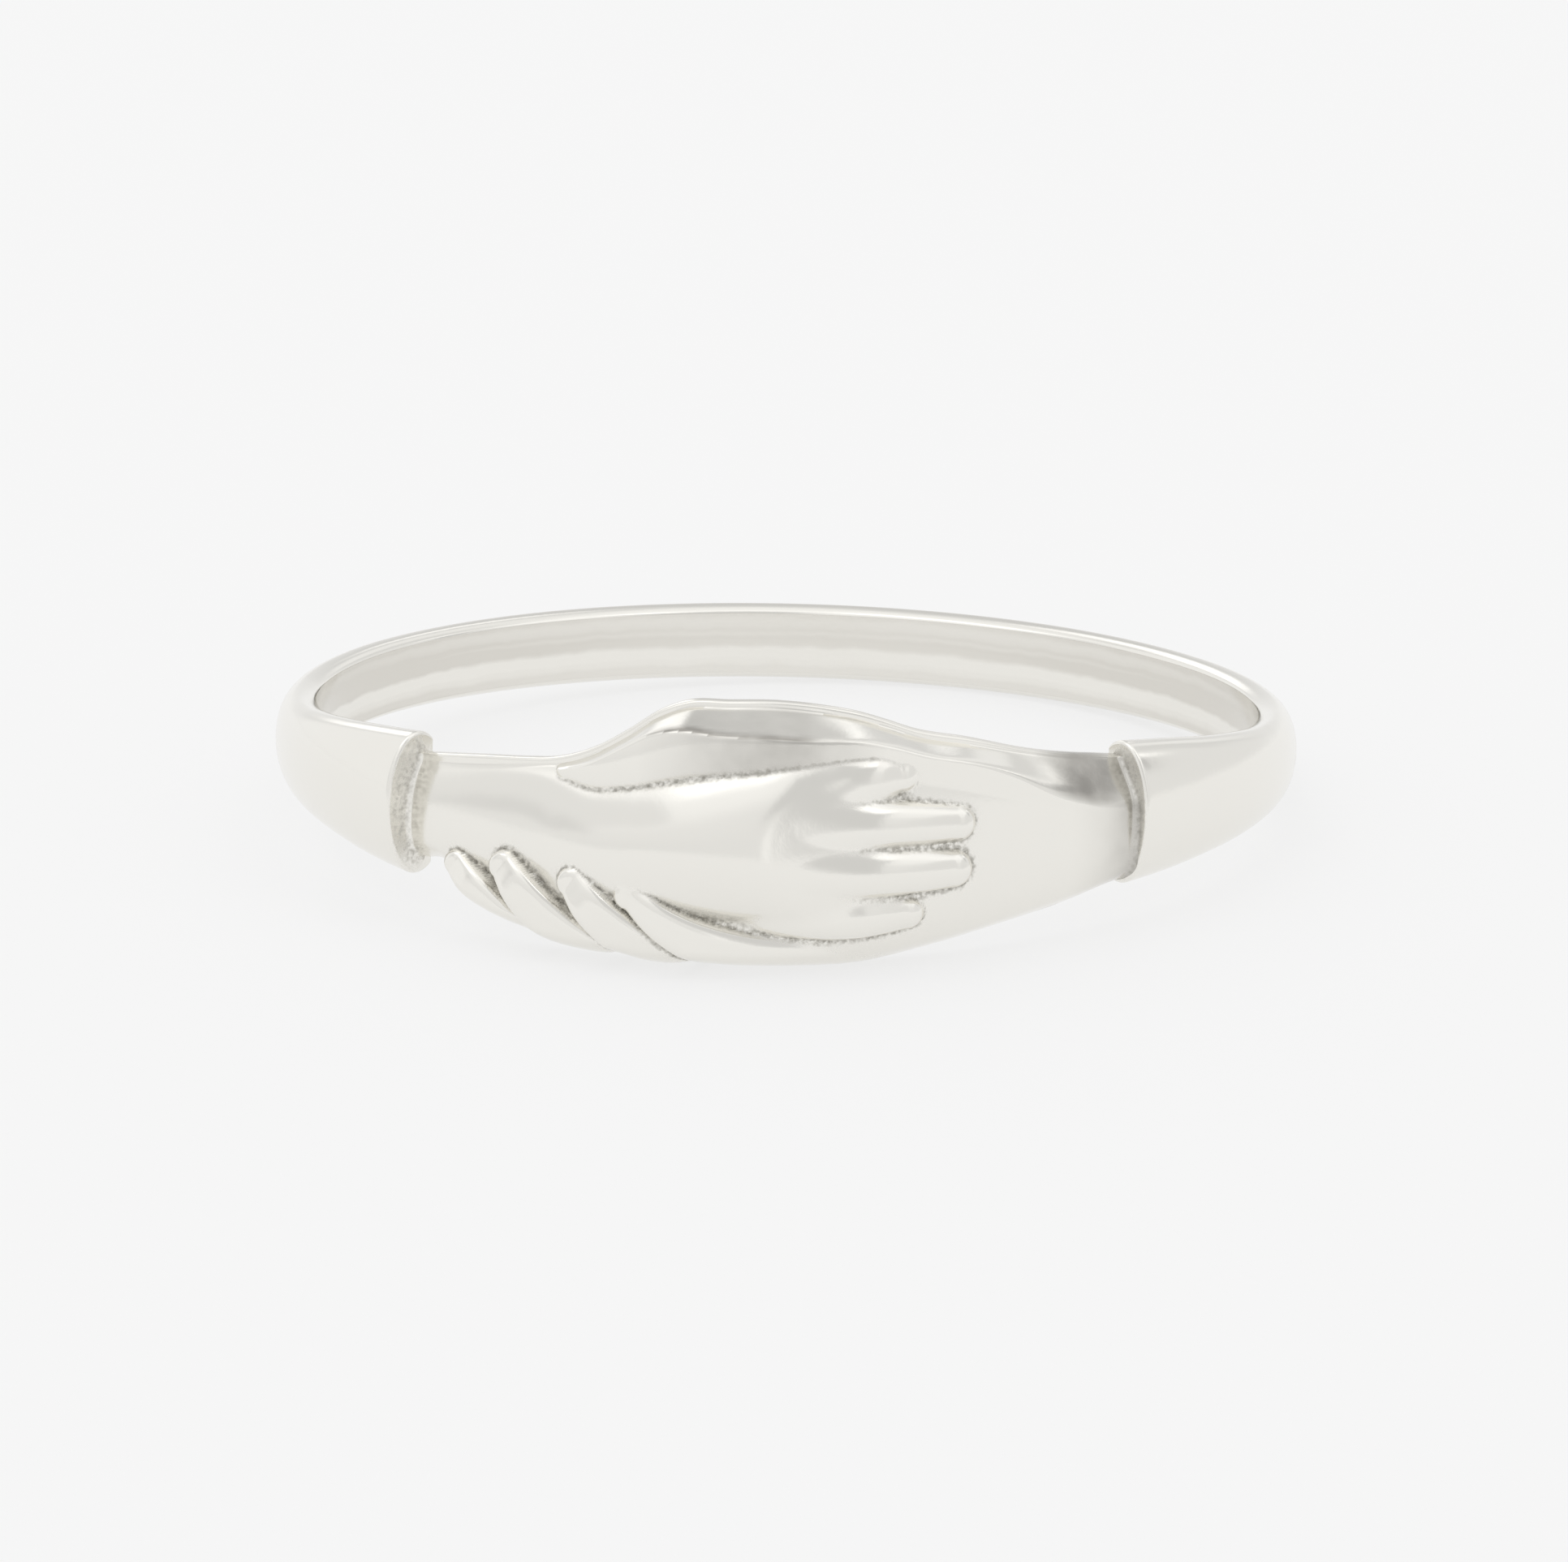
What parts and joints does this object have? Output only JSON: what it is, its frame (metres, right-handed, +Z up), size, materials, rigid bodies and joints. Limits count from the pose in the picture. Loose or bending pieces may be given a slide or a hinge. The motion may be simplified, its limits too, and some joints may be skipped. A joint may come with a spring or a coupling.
{
  "type": "clasped hands ring",
  "caption": "Finger ring cast in one piece: a half-round hoop widens into two cuffs, and a hand from each clasps the other at the front.",
  "frame": {"origin": "on the surface that the ring lies on, under the middle of its box", "axes": "+Z up; the clasped hands face -Y and lift a little, +Y to the back of the hoop, +X to the right wrist as seen from the front"},
  "size_m": [0.0188, 0.0197, 0.0048],
  "materials": {
    "silver": "cast and polished sterling silver, darker in the creases"
  },
  "bodies": {
    "root": {"clasped_hands_ring": "silver"}
  },
  "joints": []
}
